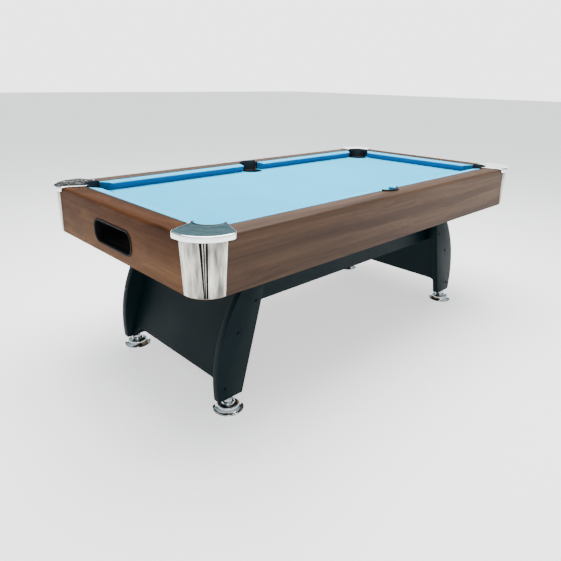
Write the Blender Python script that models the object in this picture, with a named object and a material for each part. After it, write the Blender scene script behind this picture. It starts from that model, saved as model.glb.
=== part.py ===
"""A seven-foot home pool table with a ball return, built as the separate pieces it is assembled from.

Metres, +Z up. The origin is on the floor under the middle of the table. +X runs along the table,
and the ball-return window is in the -X end. Run it in Blender:
    blender --background --python part.py
"""

import math

import bmesh
import bpy

# Cabinet and rails.
TABLE_LENGTH = 2.075
TABLE_WIDTH = 1.095
HALF_LENGTH = TABLE_LENGTH / 2
HALF_WIDTH = TABLE_WIDTH / 2
RAIL_TOP = 0.780
RAIL_WIDTH = 0.088
RAIL_ROUNDING = 0.012
APRON_BOTTOM = 0.585
APRON_TOP = 0.740
APRON_THICKNESS = 0.018
CORNER_RADIUS = 0.085
GAP = 0.0003

# Playing surface and cushions. A cushion's section is given as (distance in from the rail, height).
BED_THICKNESS = 0.018
CLOTH_THICKNESS = 0.001
CLOTH_TOP = APRON_TOP + GAP + CLOTH_THICKNESS
NOSE_OUT = 0.045
NOSE_HEIGHT = 0.0335
CUSHION_BASE_OUT = 0.026
CORNER_JAW = (0.176, 0.216)
SIDE_JAW = (0.0590, 0.0680)

# Pockets: distances from the outer faces of the cabinet to the pocket's centre, and the liner's radii.
CORNER_POCKET_IN = 0.148
SIDE_POCKET_IN = 0.110
LINER_BORE = 0.0565
LINER_OUTSIDE = 0.0595
LINER_RIM = 0.0640
LINER_RIM_TOP = RAIL_TOP + 0.009
LINER_BOTTOM = 0.700
RAIL_BITE = 0.0602
BED_HOLE = 0.0605
CORNER_LINER_REACH = math.radians(70)
SIDE_LINER_REACH = math.radians(63)

# Chrome corner fittings.
COVER_PROUD = 0.0033
COVER_TOP = 0.7655
COVER_BOTTOM = 0.5870
COVER_REACH_TOP = 0.104
COVER_REACH_BOTTOM = 0.090
CAP_IN = 0.111
CAP_RADIUS = 0.131
CAP_TOP = RAIL_TOP + 0.006
CAP_LIP_BOTTOM = 0.7660
CAP_LIP_THICKNESS = 0.0045

# Ball return.
WINDOW_LENGTH = 0.270
WINDOW_HEIGHT = 0.080
WINDOW_CENTRE = 0.668
WINDOW_ROUNDING = 0.030
TRIM_FLANGE = 0.009
TRIM_WALL = 0.0025
COLLECTOR_IN = (0.0215, 0.190)
COLLECTOR_HALF_WIDTH = 0.458
COLLECTOR_TOP = 0.6980
COLLECTOR_FLOOR = (0.6290, 0.6440)
COLLECTOR_FLAT = 0.140
GULLY_CENTRE = HALF_WIDTH - 0.129
GULLY_RADIUS = 0.040
GULLY_FLOOR = (0.6480, 0.6590)
PLASTIC_WALL = 0.0025

# Under-frame.
BOARD = 0.018
LEG_BEAM_PLACE = 0.60
LEG_BEAM_SPAN = (0.555, 0.700)
LEG_THICKNESS = 0.032
LEG_OUTSIDE = 0.372
LEG_BOTTOM = 0.055
LEG_TOP = APRON_BOTTOM - GAP
LEG_INNER_EDGE = ((0.745, LEG_BOTTOM), (0.600, LEG_TOP))
LEG_ARC_RADIUS = 0.614
LEG_ARC_CENTRE = (0.862 - LEG_ARC_RADIUS, 0.120)
END_PANEL_THICKNESS = 0.0232
END_PANEL_LEAN = 0.3284
END_PANEL_AT_FLOOR = 0.857
END_PANEL_BOTTOM = 0.112
END_PANEL_FILLET = 0.054
STRETCHER_OUTSIDE = 0.290
STRETCHER_BOTTOM = 0.378

# Levelling feet. FOOT_TRAVEL is how far one screws out of its leg.
FOOT_CENTRE = (0.804, LEG_OUTSIDE - LEG_THICKNESS / 2)
FOOT_TRAVEL = 0.020
STEM_RADIUS = 0.005
STEM_TOP = 0.100
COLLAR_RADIUS = 0.017
COLLAR_BOTTOM = 0.0365
SOCKET_RADIUS = 0.0066
SOCKET_BOTTOM = 0.0140
PAD_OUTLINE = (
    (SOCKET_RADIUS, 0.0360),
    (0.0235, 0.0360),
    (0.0250, 0.0310),
    (0.0390, 0.0290),
    (0.0430, 0.0250),
    (0.0445, 0.0185),
    (0.0560, 0.0130),
    (0.0620, 0.0090),
    (0.0630, 0.0050),
    (0.0620, 0.0),
)

CORNERS = {"return_near": (-1, -1), "return_far": (-1, 1), "head_near": (1, -1), "head_far": (1, 1)}


def clear_scene():
    for obj in list(bpy.data.objects):
        bpy.data.objects.remove(obj, do_unlink=True)


def finish_material(name, colour, roughness, metallic=0.0):
    material = bpy.data.materials.new(name)
    material.use_nodes = True
    shader = material.node_tree.nodes["Principled BSDF"]
    shader.inputs["Base Color"].default_value = (*colour, 1.0)
    shader.inputs["Roughness"].default_value = roughness
    shader.inputs["Metallic"].default_value = metallic
    material.diffuse_color = (*colour, 1.0)
    return material


# Shapes


def arc(centre, radius, start, end, steps):
    """Points along a circular arc, in degrees, with both ends."""
    angles = [math.radians(start + (end - start) * i / steps) for i in range(steps + 1)]
    return [(centre[0] + radius * math.cos(a), centre[1] + radius * math.sin(a)) for a in angles]


def loft(first, second):
    """A closed bmesh between two matching closed loops of 3-D points."""
    shape = bmesh.new()
    rings = [[shape.verts.new(point) for point in loop] for loop in (first, second)]
    shape.faces.new(rings[0])
    shape.faces.new(rings[1])
    count = len(first)
    for i in range(count):
        j = (i + 1) % count
        shape.faces.new((rings[0][i], rings[0][j], rings[1][j], rings[1][i]))
    bmesh.ops.recalc_face_normals(shape, faces=shape.faces)
    return shape


def upright(outline, bottom, top):
    """An (x, y) outline made into a prism that stands between two heights."""
    return loft([(x, y, bottom) for x, y in outline], [(x, y, top) for x, y in outline])


def along_y(outline, start, end):
    """An (x, z) outline extruded along Y."""
    return loft([(x, start, z) for x, z in outline], [(x, end, z) for x, z in outline])


def along_x(outline, start, end):
    """A (y, z) outline extruded along X."""
    return loft([(start, y, z) for y, z in outline], [(end, y, z) for y, z in outline])


def block(x, y, z):
    return upright(((x[0], y[0]), (x[1], y[0]), (x[1], y[1]), (x[0], y[1])), z[0], z[1])


def turned(outline, centre, steps, closed=False):
    """An (r, z) outline spun about an upright axis. An outline that isn't closed starts and ends on the axis."""
    shape = bmesh.new()
    points = [shape.verts.new((centre[0] + r, centre[1], z)) for r, z in outline]
    edges = [shape.edges.new(pair) for pair in zip(points, points[1:])]
    if closed:
        edges.append(shape.edges.new((points[-1], points[0])))
    bmesh.ops.spin(
        shape,
        geom=points + edges,
        cent=(centre[0], centre[1], 0.0),
        axis=(0.0, 0.0, 1.0),
        angle=math.tau,
        steps=steps,
        use_merge=True,
    )
    bmesh.ops.remove_doubles(shape, verts=shape.verts, dist=1e-6)
    bmesh.ops.recalc_face_normals(shape, faces=shape.faces)
    return shape


def add_object(name, shape, material=None, origin=(0.0, 0.0, 0.0)):
    """Makes the bmesh an object whose origin is at the given point."""
    bmesh.ops.translate(shape, vec=[-value for value in origin], verts=shape.verts)
    mesh = bpy.data.meshes.new(name)
    shape.to_mesh(mesh)
    shape.free()
    obj = bpy.data.objects.new(name, mesh)
    obj.location = origin
    bpy.context.scene.collection.objects.link(obj)
    if material:
        mesh.materials.append(material)
        mesh.shade_smooth()
        mesh.set_sharp_from_angle(angle=math.radians(35))
    return obj


def boolean(obj, shape, operation="DIFFERENCE"):
    """Cuts the bmesh out of the object, or joins it on."""
    tool = add_object(f"{obj.name}_tool_{len(obj.modifiers)}", shape)
    tool.hide_render = True
    tool.display_type = "WIRE"
    modifier = obj.modifiers.new(tool.name, "BOOLEAN")
    modifier.operation = operation
    modifier.object = tool


def from_corner(side, points):
    """Turns (in along X, in along Y) distances from a cabinet corner into (x, y)."""
    return [(side[0] * (HALF_LENGTH - x), side[1] * (HALF_WIDTH - y)) for x, y in points]


def rounded_corner(reach, offset, steps=10):
    """The corner's outline at an offset outside the cabinet, from reach along one face to reach along the other."""
    middle = (CORNER_RADIUS, CORNER_RADIUS)
    curve = arc(middle, CORNER_RADIUS + offset, 180, 270, steps)
    return [(-offset, reach), *curve, (reach, -offset)]


def pocket_angles(pocket_in, radius):
    """The half-angle that a pocket's circle spans outside the rails' inner edge, in degrees."""
    return math.degrees(math.acos((pocket_in - RAIL_WIDTH) / radius))


# Cabinet


def add_aprons(wood):
    inset = CORNER_RADIUS + GAP
    across = (-HALF_WIDTH + inset, HALF_WIDTH - inset)
    along = (-HALF_LENGTH + inset, HALF_LENGTH - inset)
    height = (APRON_BOTTOM, APRON_TOP)
    for name, side in (("apron_side_near", -1), ("apron_side_far", 1)):
        faces = sorted((side * HALF_WIDTH, side * (HALF_WIDTH - APRON_THICKNESS)))
        add_object(name, block(along, faces, height), wood)
    for name, side in (("apron_end_return", -1), ("apron_end_head", 1)):
        faces = sorted((side * HALF_LENGTH, side * (HALF_LENGTH - APRON_THICKNESS)))
        apron = add_object(name, block(faces, across, height), wood)
        if side < 0:
            hole = along_x(window_outline(TRIM_WALL + GAP), faces[0] - 0.01, faces[1] + 0.01)
            boolean(apron, hole)


def add_corner_posts(board):
    for corner, side in CORNERS.items():
        inner = CORNER_RADIUS - GAP
        outline = arc((CORNER_RADIUS, CORNER_RADIUS), CORNER_RADIUS, 180.2, 269.8, 10)
        points = from_corner(side, [*outline, (inner, inner)])
        add_object(f"corner_post_{corner}", upright(points, APRON_BOTTOM, APRON_TOP), board)


def rail_corner(along_is_x):
    """One mitred rail end, as distances from the corner: outer round, mitre, then the pocket's bite."""
    start = 225 + 0.3
    outer = arc((CORNER_RADIUS, CORNER_RADIUS), CORNER_RADIUS, 270, start, 5)
    reach = pocket_angles(CORNER_POCKET_IN, RAIL_BITE)
    bite = arc((CORNER_POCKET_IN, CORNER_POCKET_IN), RAIL_BITE, start, 270 + reach, 10)
    points = [*outer, *bite]
    return points if along_is_x else [(y, x) for x, y in points]


def add_rails(wood):
    half_reach = pocket_angles(SIDE_POCKET_IN, RAIL_BITE)
    for name, side in (("top_rail_side_near", -1), ("top_rail_side_far", 1)):
        left = from_corner((-1, side), rail_corner(True))
        right = from_corner((1, side), rail_corner(True))
        pocket = (0.0, side * (HALF_WIDTH - SIDE_POCKET_IN))
        notch = arc(pocket, RAIL_BITE, 90 * side + half_reach, 90 * side - half_reach, 12)
        if side < 0:
            notch.reverse()
        add_rail(name, [*left, *notch, *reversed(right)], wood)
    for name, side in (("top_rail_end_return", -1), ("top_rail_end_head", 1)):
        near = from_corner((side, -1), rail_corner(False))
        far = from_corner((side, 1), rail_corner(False))
        add_rail(name, [*near, *reversed(far)], wood)


def add_rail(name, outline, wood):
    """A rail board with its outer top edge rounded over."""
    shape = upright(outline, APRON_TOP + GAP, RAIL_TOP)
    rounded = [edge for edge in shape.edges if all(on_outer_top(vert) for vert in edge.verts)]
    bmesh.ops.bevel(
        shape,
        geom=rounded,
        offset=RAIL_ROUNDING,
        offset_type="OFFSET",
        affect="EDGES",
        segments=3,
        profile=0.5,
        material=-1,
    )
    add_object(name, shape, wood)


def on_outer_top(vert):
    """Whether a rail's vertex is on the cabinet's outer outline, at the top."""
    if vert.co.z < RAIL_TOP - 1e-5:
        return False
    x = HALF_LENGTH - abs(vert.co.x)
    y = HALF_WIDTH - abs(vert.co.y)
    if x > CORNER_RADIUS - 1e-5 or y > CORNER_RADIUS - 1e-5:
        return min(x, y) < 1e-5
    return abs(math.hypot(CORNER_RADIUS - x, CORNER_RADIUS - y) - CORNER_RADIUS) < 1e-5


# Playing surface


def add_bed(board, cloth_finish):
    inset = APRON_THICKNESS + 2 * GAP
    half = (HALF_LENGTH - inset, HALF_WIDTH - inset)
    height = (APRON_TOP - BED_THICKNESS, APRON_TOP)
    bed = add_object("playing_bed", block((-half[0], half[0]), (-half[1], half[1]), height), board)
    inner = RAIL_WIDTH + GAP
    half = (HALF_LENGTH - inner, HALF_WIDTH - inner)
    height = (APRON_TOP + GAP, CLOTH_TOP)
    cloth = add_object("bed_cloth", block((-half[0], half[0]), (-half[1], half[1]), height), cloth_finish)
    for side in CORNERS.values():
        boolean(bed, corner_cut(side, BED_HOLE))
        boolean(cloth, corner_cut(side, BED_HOLE))
    for side in (-1, 1):
        pocket = (0.0, side * (HALF_WIDTH - SIDE_POCKET_IN))
        for target, radius in ((bed, BED_HOLE), (cloth, BED_HOLE)):
            boolean(target, upright(arc(pocket, radius, 0, 345, 23), APRON_BOTTOM, RAIL_TOP))


def corner_cut(side, radius):
    """The corner of the bed, out to the pocket, with the pocket's round front."""
    points = [(-0.01, CORNER_POCKET_IN), (-0.01, -0.01), (CORNER_POCKET_IN, -0.01)]
    centre = (CORNER_POCKET_IN, CORNER_POCKET_IN)
    points += arc(centre, radius, -90, 180, 20)
    return upright(from_corner(side, points), APRON_BOTTOM, RAIL_TOP)


def cushion_section(out):
    """A cushion's height above the cloth at its top and its bottom, at a distance out from the rail."""
    base = CLOTH_TOP + GAP
    top = RAIL_TOP - 0.001 - (RAIL_TOP - 0.001 - CLOTH_TOP - NOSE_HEIGHT) * out / NOSE_OUT
    return base, top


def add_cushion(name, line, ends, material):
    """A cushion along a rail. line(distance along, distance out, z) gives the point; ends are its jaws."""
    base, top = cushion_section(0.0)
    nose = CLOTH_TOP + NOSE_HEIGHT
    section = ((0.0, base), (0.0, top), (NOSE_OUT - 0.004, nose + 0.0025), (NOSE_OUT, nose - 0.001))
    section += ((NOSE_OUT - 0.003, nose - 0.006), (CUSHION_BASE_OUT, base))
    loops = []
    for at_rail, at_nose in ends:
        loop = [line(at_rail + (at_nose - at_rail) * out / NOSE_OUT, out, z) for out, z in section]
        loops.append(loop)
    add_object(name, loft(*loops), material)


def add_cushions(cloth_finish):
    start = RAIL_WIDTH + GAP
    jaw = [HALF_LENGTH - value for value in CORNER_JAW]
    for row, side in (("near", -1), ("far", 1)):
        for half, way in (("return", -1), ("head", 1)):
            ends = [[way * value for value in SIDE_JAW], [way * value for value in jaw]]

            def line(along, out, z, side=side):
                return (along, side * (HALF_WIDTH - start - out), z)

            add_cushion(f"cushion_{row}_{half}", line, ends, cloth_finish)
    jaw = [HALF_WIDTH - value for value in CORNER_JAW]
    for name, side in (("cushion_end_return", -1), ("cushion_end_head", 1)):

        def line(along, out, z, side=side):
            return (side * (HALF_LENGTH - start - out), along, z)

        add_cushion(name, line, [[-value for value in jaw], jaw], cloth_finish)


# Pockets and ball return


def add_liner(name, pocket, outward, reach, plastic):
    """A pocket liner: a full ring through the bed, and a rimmed wall round its outward side."""
    outline = (
        (LINER_BORE, LINER_BOTTOM),
        (LINER_OUTSIDE, LINER_BOTTOM),
        (LINER_OUTSIDE, RAIL_TOP + GAP),
        (LINER_RIM, RAIL_TOP + GAP),
        (LINER_RIM, LINER_RIM_TOP - 0.002),
        (LINER_RIM - 0.002, LINER_RIM_TOP),
        (LINER_BORE, LINER_RIM_TOP),
    )
    liner = add_object(name, turned(outline, pocket, 40, closed=True), plastic)
    start = math.degrees(outward + reach)
    end = math.degrees(outward - reach) + 360
    sector = [pocket, *arc(pocket, 0.09, start, end, 12)]
    boolean(liner, upright(sector, APRON_TOP - 0.0015, RAIL_TOP + 0.02))


def add_liners(plastic):
    for corner, side in CORNERS.items():
        pocket = from_corner(side, [(CORNER_POCKET_IN, CORNER_POCKET_IN)])[0]
        outward = math.atan2(side[1], side[0])
        add_liner(f"pocket_liner_{corner}", pocket, outward, CORNER_LINER_REACH, plastic)
    for name, side in (("pocket_liner_side_near", -1), ("pocket_liner_side_far", 1)):
        pocket = (0.0, side * (HALF_WIDTH - SIDE_POCKET_IN))
        add_liner(name, pocket, side * math.pi / 2, SIDE_LINER_REACH, plastic)


def window_outline(offset):
    """The window's rounded outline in (y, z), grown by an offset."""
    half = (WINDOW_LENGTH / 2 - WINDOW_ROUNDING, WINDOW_HEIGHT / 2 - WINDOW_ROUNDING)
    points = []
    for start, y, z in ((0, 1, 1), (90, -1, 1), (180, -1, -1), (270, 1, -1)):
        centre = (y * half[0], WINDOW_CENTRE + z * half[1])
        points += arc(centre, WINDOW_ROUNDING + offset, start, start + 90, 5)
    return points


def add_window_trim(plastic):
    """The bezel: a flange on the apron's face and a sleeve through it, swept round the window."""
    face = -HALF_LENGTH
    back = face + APRON_THICKNESS + GAP
    section = ((0.0, back), (TRIM_WALL, back), (TRIM_WALL, face - GAP), (TRIM_FLANGE, face - GAP))
    section += ((TRIM_FLANGE - 0.001, face - 0.003), (0.001, face - 0.003), (0.0, face - 0.002))
    shape = bmesh.new()
    rings = []
    for offset, x in section:
        rings.append([shape.verts.new((x, y, z)) for y, z in window_outline(offset)])
    count = len(rings[0])
    for ring, following in zip(rings, rings[1:] + rings[:1]):
        for i in range(count):
            j = (i + 1) % count
            shape.faces.new((ring[i], ring[j], following[j], following[i]))
    bmesh.ops.recalc_face_normals(shape, faces=shape.faces)
    add_object("return_window_trim", shape, plastic)


def add_collector(plastic):
    """The tray behind the window and the two sloping chutes that bring balls to it from the gullies."""
    start, end = (-HALF_LENGTH + value for value in COLLECTOR_IN)
    low, high = COLLECTOR_FLOOR
    under = low - PLASTIC_WALL
    wall = end - PLASTIC_WALL
    section = ((start, under), (end, under), (end, COLLECTOR_TOP), (wall, COLLECTOR_TOP), (wall, low), (start, low))
    inner = COLLECTOR_FLAT
    add_object("ball_tray", along_y(section, GAP - inner, inner - GAP), plastic)
    slope = (high - low) / (COLLECTOR_HALF_WIDTH - inner)
    for row, side in (("near", -1), ("far", 1)):
        outer = COLLECTOR_HALF_WIDTH
        outside = ((inner, under), (outer, high - PLASTIC_WALL), (outer, COLLECTOR_TOP), (inner, COLLECTOR_TOP))
        past = inner - 0.02
        bore = outer - PLASTIC_WALL
        over = COLLECTOR_TOP + 0.02
        inside = ((past, low - slope * 0.02), (bore, high - slope * PLASTIC_WALL), (bore, over), (past, over))
        chute = along_x([(side * y, z) for y, z in outside], start, end)
        chute = add_object(f"ball_chute_{row}", chute, plastic)
        boolean(chute, along_x([(side * y, z) for y, z in inside], start + PLASTIC_WALL, wall))
        across = sorted((side * (GULLY_CENTRE - 0.038), side * (GULLY_CENTRE + 0.038)))
        boolean(chute, block((end - 0.01, end + 0.01), across, (GULLY_FLOOR[0] + 0.0035, over)))


def half_round(centre, radius, floor):
    """A trough's (y, z) outline: a half circle that rests on its floor, closed across the top."""
    return arc((centre, floor + radius), radius, 180, 360, 10)


def add_gullies(plastic):
    low, high = GULLY_FLOOR
    start = -HALF_LENGTH + COLLECTOR_IN[1] + GAP
    end = HALF_LENGTH - 0.075
    for name, side in (("ball_gully_near", -1), ("ball_gully_far", 1)):
        centre = side * GULLY_CENTRE
        loops = []
        for x, floor in ((start, low), (end, high)):
            loops.append([(x, y, z) for y, z in half_round(centre, GULLY_RADIUS, floor)])
        gully = add_object(name, loft(*loops), plastic)
        bore = GULLY_RADIUS - PLASTIC_WALL
        slope = (high - low) / (end - start)
        loops = []
        for x in (start - 0.02, end - PLASTIC_WALL):
            floor = low + slope * (x - start) + PLASTIC_WALL
            points = half_round(centre, bore, floor)
            points += [(centre + side_y * bore, floor + bore + 0.01) for side_y in (1, -1)]
            loops.append([(x, y, z) for y, z in points])
        boolean(gully, loft(*loops))


# Corner fittings


def add_corner_covers(chrome):
    for corner, side in CORNERS.items():
        loops = []
        for reach, height in ((COVER_REACH_BOTTOM, COVER_BOTTOM), (COVER_REACH_TOP, COVER_TOP)):
            outline = rounded_corner(reach, COVER_PROUD) + rounded_corner(reach, GAP)[::-1]
            loops.append([(x, y, height) for x, y in from_corner(side, outline)])
        add_object(f"corner_cover_{corner}", loft(*loops), chrome)


def add_corner_caps(chrome):
    """A plate over the rail ends, from the pocket's rim out to a round front edge with a lip that hangs outside."""
    inner_radius = LINER_RIM + 0.0005
    reach = pocket_angles(CORNER_POCKET_IN, inner_radius)
    middle = (CAP_IN, CAP_IN)
    rim = arc((CORNER_POCKET_IN, CORNER_POCKET_IN), inner_radius, 270 + reach, 180 - reach, 14)
    front = arc(middle, CAP_RADIUS, 172, 278, 12)
    back = arc(middle, CAP_RADIUS - CAP_LIP_THICKNESS, 278, 172, 12)
    for corner, side in CORNERS.items():
        shape = upright(from_corner(side, front + rim), RAIL_TOP + GAP, CAP_TOP)
        edges = [edge for edge in shape.edges if all(on_cap_edge(vert) for vert in edge.verts)]
        bmesh.ops.bevel(
            shape,
            geom=edges,
            offset=0.004,
            offset_type="OFFSET",
            affect="EDGES",
            segments=2,
            profile=0.5,
            material=-1,
        )
        cap = add_object(f"corner_cap_{corner}", shape, chrome)
        boolean(cap, upright(from_corner(side, front + back), CAP_LIP_BOTTOM, RAIL_TOP + 0.001), "UNION")


def on_cap_edge(vert):
    """Whether a cap's vertex is on its front edge, at the top."""
    x = HALF_LENGTH - CAP_IN - abs(vert.co.x)
    y = HALF_WIDTH - CAP_IN - abs(vert.co.y)
    return vert.co.z > CAP_TOP - 1e-5 and abs(math.hypot(x, y) - CAP_RADIUS) < 1e-5


# Under-frame


def add_bed_supports(board):
    """A crossbar under the middle of the bed, and a T-shaped beam at each end that the legs bolt to."""
    reach = HALF_WIDTH - APRON_THICKNESS - 2 * GAP
    notch = GULLY_CENTRE - GULLY_RADIUS - 0.012
    top = APRON_TOP - BED_THICKNESS - GAP
    for name, x in (("bed_crossbar", 0.0), ("leg_beam_return", -LEG_BEAM_PLACE), ("leg_beam_head", LEG_BEAM_PLACE)):
        bottom = APRON_BOTTOM + BOARD / 2
        outline = ((-reach, bottom), (reach, bottom), (reach, 0.640), (notch, 0.640))
        outline += ((notch, top), (-notch, top), (-notch, 0.640), (-reach, 0.640))
        beam = add_object(name, along_x(outline, x - BOARD / 2, x + BOARD / 2), board)
        if x:
            span = sorted(math.copysign(value, x) for value in LEG_BEAM_SPAN)
            boolean(beam, block(span, (-reach, reach), (APRON_BOTTOM, APRON_BOTTOM + BOARD)), "UNION")


def leg_outline(way):
    """The side panel's (x, z) outline: a straight inner edge and a bowed outer edge."""
    rise = math.degrees(math.asin((LEG_TOP - LEG_ARC_CENTRE[1]) / LEG_ARC_RADIUS))
    dip = math.degrees(math.asin((LEG_BOTTOM - LEG_ARC_CENTRE[1]) / LEG_ARC_RADIUS))
    outer = arc(LEG_ARC_CENTRE, LEG_ARC_RADIUS, dip, rise, 12)
    return [(way * x, z) for x, z in [LEG_INNER_EDGE[0], *outer, LEG_INNER_EDGE[1]]]


def add_legs(panel):
    for corner, (way, side) in CORNERS.items():
        faces = (side * (LEG_OUTSIDE - LEG_THICKNESS), side * LEG_OUTSIDE)
        leg = add_object(f"leg_panel_{corner}", along_y(leg_outline(way), *faces), panel)
        centre = (way * FOOT_CENTRE[0], side * FOOT_CENTRE[1])
        hole = arc(centre, STEM_RADIUS + 0.0008, 0, 330, 11)
        boolean(leg, upright(hole, LEG_BOTTOM - 0.01, STEM_TOP + 0.004))
    for name, way in (("leg_end_panel_return", -1), ("leg_end_panel_head", 1)):
        add_object(name, end_panel(way), panel)


def end_panel(way):
    """A leaning panel between two legs. Its lower edge turns down along each leg in a concave round."""
    half = LEG_OUTSIDE - LEG_THICKNESS - GAP
    ear = half - 0.015
    foot = END_PANEL_BOTTOM - END_PANEL_FILLET
    curve = arc((ear - END_PANEL_FILLET, foot), END_PANEL_FILLET, 90, 0, 6)
    right = [*curve, (half, foot), (half, LEG_TOP)]
    outline = right + [(-y, z) for y, z in reversed(right)]
    faces = []
    for inset in (0.0, END_PANEL_THICKNESS):
        faces.append([(way * (END_PANEL_AT_FLOOR - END_PANEL_LEAN * z - inset), y, z) for y, z in outline])
    return loft(*faces)


def add_stretchers(panel):
    """Two long boards between the end panels, with their ends cut to the panels' lean."""
    reach = [
        END_PANEL_AT_FLOOR - END_PANEL_LEAN * z - END_PANEL_THICKNESS - GAP
        for z in (STRETCHER_BOTTOM, LEG_TOP)
    ]
    outline = ((-reach[0], STRETCHER_BOTTOM), (reach[0], STRETCHER_BOTTOM), (reach[1], LEG_TOP), (-reach[1], LEG_TOP))
    for name, side in (("stretcher_near", -1), ("stretcher_far", 1)):
        faces = (side * (STRETCHER_OUTSIDE - BOARD), side * STRETCHER_OUTSIDE)
        add_object(name, along_y(outline, *faces), panel)


def add_feet(chrome, steel):
    """A foot is a pad that moves straight up and down and, in its socket, a threaded stem that turns."""
    pad_outline = [(0.0, SOCKET_BOTTOM), (SOCKET_RADIUS, SOCKET_BOTTOM), *PAD_OUTLINE, (0.0, 0.0)]
    bottom = SOCKET_BOTTOM + GAP
    collar_top = LEG_BOTTOM - GAP
    for corner, (way, side) in CORNERS.items():
        centre = (way * FOOT_CENTRE[0], side * FOOT_CENTRE[1])
        pivot = (*centre, LEG_BOTTOM)
        pad = turned(pad_outline, centre, 28)
        add_object(f"foot_pad_{corner}", pad, chrome, pivot)
        stem_outline = (
            (0.0, bottom),
            (SOCKET_RADIUS - 0.0005, bottom),
            (SOCKET_RADIUS - 0.0005, COLLAR_BOTTOM),
            (STEM_RADIUS, COLLAR_BOTTOM),
            (STEM_RADIUS, STEM_TOP - 0.002),
            (STEM_RADIUS - 0.002, STEM_TOP),
            (0.0, STEM_TOP),
        )
        stem = add_object(f"foot_stem_{corner}", turned(stem_outline, centre, 16), steel, pivot)
        collar = upright(arc(centre, COLLAR_RADIUS, 0, 300, 5), COLLAR_BOTTOM, collar_top)
        boolean(stem, collar, "UNION")


def main():
    clear_scene()
    walnut = finish_material("walnut_laminate", (0.150, 0.078, 0.042), 0.42)
    panel = finish_material("charcoal_laminate", (0.020, 0.030, 0.035), 0.50)
    board = finish_material("raw_fibreboard", (0.330, 0.230, 0.140), 0.85)
    cloth = finish_material("blue_cloth", (0.350, 0.690, 0.830), 0.95)
    plastic = finish_material("black_plastic", (0.012, 0.012, 0.014), 0.45)
    chrome = finish_material("chrome_plate", (0.780, 0.790, 0.780), 0.10, 1.0)
    steel = finish_material("zinc_steel", (0.550, 0.560, 0.570), 0.35, 1.0)
    add_aprons(walnut)
    add_corner_posts(board)
    add_rails(walnut)
    add_bed(board, cloth)
    add_cushions(cloth)
    add_liners(plastic)
    add_window_trim(plastic)
    add_collector(plastic)
    add_gullies(plastic)
    add_corner_covers(chrome)
    add_corner_caps(chrome)
    add_bed_supports(board)
    add_legs(panel)
    add_stretchers(panel)
    add_feet(chrome, steel)


main()
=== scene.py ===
import math

import bmesh
import bpy
from mathutils import Matrix, Vector


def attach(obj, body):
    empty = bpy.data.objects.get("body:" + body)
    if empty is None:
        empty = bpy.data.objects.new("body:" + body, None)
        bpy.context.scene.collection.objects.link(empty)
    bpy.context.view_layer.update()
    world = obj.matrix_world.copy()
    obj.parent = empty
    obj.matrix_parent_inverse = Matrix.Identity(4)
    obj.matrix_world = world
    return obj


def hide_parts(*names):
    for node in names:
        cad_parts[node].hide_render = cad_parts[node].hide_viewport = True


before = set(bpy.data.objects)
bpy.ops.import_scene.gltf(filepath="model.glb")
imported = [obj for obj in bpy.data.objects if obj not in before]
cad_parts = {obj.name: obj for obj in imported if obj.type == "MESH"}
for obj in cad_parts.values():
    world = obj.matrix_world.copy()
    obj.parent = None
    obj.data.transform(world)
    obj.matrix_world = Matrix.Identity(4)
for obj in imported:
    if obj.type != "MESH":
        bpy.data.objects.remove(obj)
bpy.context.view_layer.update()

corners = {"return_near": (-1, -1), "return_far": (-1, 1), "head_near": (1, -1), "head_far": (1, 1)}
sides = {"near": -1, "far": 1}
ends = {"return": -1, "head": 1}

# Sizes that several pieces share, in metres. "In" is a distance in from the cabinet's outer face.
halfLength = 1.0375
halfWidth = 0.5475
cornerRadius = 0.085
cornerPocketIn = 0.148
sidePocketIn = 0.110
cushionStartIn = 0.0883
clothTop = 0.7413


# Materials


def addNode(tree, kind, values=None, **settings):
    made = tree.nodes.new(kind)
    for key, value in settings.items():
        setattr(made, key, value)
    for key, value in (values or {}).items():
        if isinstance(value, bpy.types.NodeSocket):
            tree.links.new(value, made.inputs[key])
        else:
            made.inputs[key].default_value = value
    return made


def newMaterial(name, colour, roughness, metallic=0.0, specular=0.5):
    material = bpy.data.materials.new(name)
    material.use_nodes = True
    tree = material.node_tree
    shader = tree.nodes["Principled BSDF"]
    shader.inputs["Base Color"].default_value = (*colour, 1.0)
    shader.inputs["Roughness"].default_value = roughness
    shader.inputs["Metallic"].default_value = metallic
    shader.inputs["Specular IOR Level"].default_value = specular
    material.diffuse_color = (*colour, 1.0)
    return material, tree, shader


def objectPoint(tree, scale, turn=(0.0, 0.0, 0.0)):
    point = addNode(tree, "ShaderNodeTexCoord")
    values = {"Vector": point.outputs["Object"], "Scale": scale, "Rotation": turn}
    return addNode(tree, "ShaderNodeMapping", values).outputs["Vector"]


def noiseOf(tree, vector, scale, detail=2.0, roughness=0.5):
    values = {"Vector": vector, "Scale": scale, "Detail": detail, "Roughness": roughness}
    return addNode(tree, "ShaderNodeTexNoise", values).outputs["Fac"]


def rampOf(tree, value, stops, interpolation="LINEAR"):
    node = addNode(tree, "ShaderNodeValToRGB", {"Fac": value})
    node.color_ramp.interpolation = interpolation
    while len(node.color_ramp.elements) < len(stops):
        node.color_ramp.elements.new(0.5)
    for element, (place, colour) in zip(node.color_ramp.elements, stops):
        element.position = place
        element.color = (*colour, 1.0) if len(colour) == 3 else colour
    return node.outputs["Color"]


def grey(value):
    return (value, value, value)


def mixOf(tree, factor, first, second, mode="MIX"):
    node = addNode(tree, "ShaderNodeMix", data_type="RGBA", blend_type=mode)
    for socket, value in ((0, factor), (6, first), (7, second)):
        if isinstance(value, bpy.types.NodeSocket):
            tree.links.new(value, node.inputs[socket])
        else:
            node.inputs[socket].default_value = value if socket == 0 else (*value, 1.0)
    return node.outputs[2]


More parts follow.
